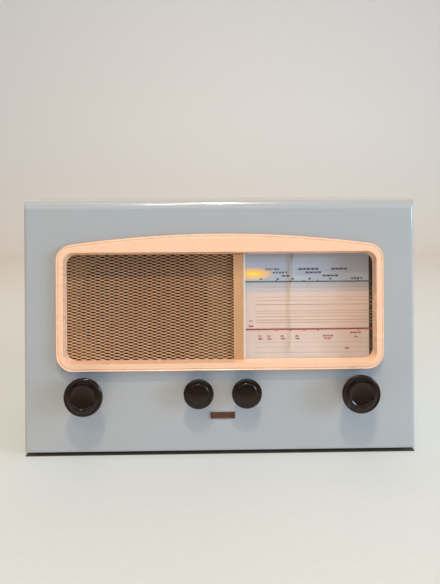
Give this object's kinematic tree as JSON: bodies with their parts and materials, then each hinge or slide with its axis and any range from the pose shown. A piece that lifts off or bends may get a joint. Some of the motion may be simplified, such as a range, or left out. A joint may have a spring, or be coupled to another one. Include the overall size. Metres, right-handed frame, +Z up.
{
  "type": "table radio",
  "caption": "Table radio in a rounded steel case with an arched plastic surround, metal grille, glass tuning dial and turning knobs.",
  "frame": {"origin": "on the table under the middle of the whole object", "axes": "+X to the right of someone facing the dial, +Y to the back, +Z up"},
  "size_m": [0.47, 0.2238, 0.308],
  "materials": {
    "enamel": "gloss",
    "dark_steel": "satin",
    "plated_steel": "satin",
    "rubber": "matt",
    "hardboard": "matt",
    "peach_plastic": "gloss",
    "tan_plastic": "satin",
    "brass_mesh": "satin",
    "clear_glass": "gloss",
    "copper_plate": "satin",
    "felt": "matt",
    "grey_steel": "satin",
    "magnet_steel": "satin",
    "cone_paper": "matt",
    "coil_copper": "satin",
    "transformer_iron": "satin",
    "dial_paint": "satin",
    "gilt": "satin",
    "cord_fibre": "matt",
    "aluminium": "satin",
    "brass": "satin",
    "bakelite": "gloss",
    "brown_laminate": "satin",
    "valve_glass": "gloss",
    "lamp_glass": "gloss"
  },
  "bodies": {
    "cabinet": {"case_shell": "enamel", "base_plate": "dark_steel", "base_screws": "plated_steel", "rubber_feet": "rubber", "rear_cover": "hardboard", "rear_cover_screws": "plated_steel", "surround": "peach_plastic", "surround_clips": "plated_steel", "divider_strip": "tan_plastic", "grille_mesh": "brass_mesh", "baffle_board": "hardboard", "dial_glass": "clear_glass", "trim_straps": "plated_steel", "trim_nuts": "plated_steel", "blank_badge": "copper_plate", "knob_felts": "felt", "speaker_frame": "grey_steel", "speaker_magnet": "magnet_steel", "speaker_gasket": "felt", "speaker_bolts": "plated_steel", "output_transformer": "transformer_iron", "dial_plate": "dial_paint", "pointer_rail": "plated_steel", "drive_cord": "cord_fibre", "gang_frame": "aluminium", "gang_stators": "aluminium", "chassis_tray": "plated_steel", "tuning_bush": "brass", "control_nuts": "plated_steel", "volume_control": "brown_laminate", "tone_control": "brown_laminate", "wave_switch": "brown_laminate", "power_transformer": "transformer_iron", "smoothing_capacitor": "aluminium", "coupling_cans": "aluminium", "valve_holders": "bakelite", "valves": "valve_glass", "lamp_holder": "brass", "dial_lamp": "lamp_glass", "socket_strip": "brown_laminate", "mains_grommet": "rubber", "aerial_coils": "coil_copper", "tag_board": "brown_laminate"},
    "tuning": {"tuning_knob": "bakelite", "tuning_spindle": "plated_steel"},
    "drive": {"drive_drum": "aluminium", "gang_rotor": "aluminium"},
    "pointer": {"pointer_carriage": "brass", "pointer_needle": "gilt"},
    "left_pulley": {"pulley_left": "brass"},
    "right_pulley": {"pulley_right": "brass"},
    "volume": {"volume_knob": "bakelite", "volume_spindle": "plated_steel"},
    "tone": {"tone_knob": "bakelite", "tone_spindle": "plated_steel"},
    "wavechange": {"wave_knob": "bakelite", "wave_spindle": "plated_steel"},
    "cone": {"speaker_cone": "cone_paper", "voice_coil": "coil_copper", "cone_surround": "cone_paper"}
  },
  "joints": [
    {"name": "drive_spin", "type": "hinge", "parent": "cabinet", "child": "drive", "pos_m": [0.108, -0.0619, 0.1404], "axis": [0, 1, 0], "range_deg": [-64.28, 115.71]},
    {"name": "tuning_turn", "type": "hinge", "parent": "cabinet", "child": "tuning", "pos_m": [0.1624, -0.0889, 0.0784], "axis": [0, 1, 0], "range_deg": [-739.3, 1330.7]},
    {"name": "pointer_slide", "type": "slide", "parent": "cabinet", "child": "pointer", "axis": [1, 0, 0], "range_m": [-0.05, 0.09]},
    {"name": "left_pulley_spin", "type": "hinge", "parent": "cabinet", "child": "left_pulley", "pos_m": [0.022, -0.0604, 0.244], "axis": [0, 1, 0], "range_deg": [-477.5, 859.5]},
    {"name": "right_pulley_spin", "type": "hinge", "parent": "cabinet", "child": "right_pulley", "pos_m": [0.194, -0.0604, 0.244], "axis": [0, 1, 0], "range_deg": [-477.5, 859.5]},
    {"name": "volume_turn", "type": "hinge", "parent": "cabinet", "child": "volume", "pos_m": [-0.1588, -0.0889, 0.0784], "axis": [0, 1, 0], "range_deg": [-110, 190]},
    {"name": "tone_turn", "type": "hinge", "parent": "cabinet", "child": "tone", "pos_m": [-0.0264, -0.0889, 0.0784], "axis": [0, 1, 0], "range_deg": [-135, 135]},
    {"name": "wavechange_turn", "type": "hinge", "parent": "cabinet", "child": "wavechange", "pos_m": [0.03, -0.0889, 0.0784], "axis": [0, 1, 0], "range_deg": [-30, 30]},
    {"name": "cone_travel", "type": "slide", "parent": "cabinet", "child": "cone", "axis": [0, 1, 0], "range_m": [-0.001, 0.001], "stiffness_N_per_m": 1500, "deforming": ["cone_surround"]}
  ],
  "couplings": [
    {"joint": "tuning_turn", "follows": "drive_spin", "ratio": 11.5},
    {"joint": "pointer_slide", "follows": "drive_spin", "m_per_rad": 0.044563},
    {"joint": "left_pulley_spin", "follows": "drive_spin", "ratio": 7.4272},
    {"joint": "right_pulley_spin", "follows": "drive_spin", "ratio": 7.4272}
  ]
}
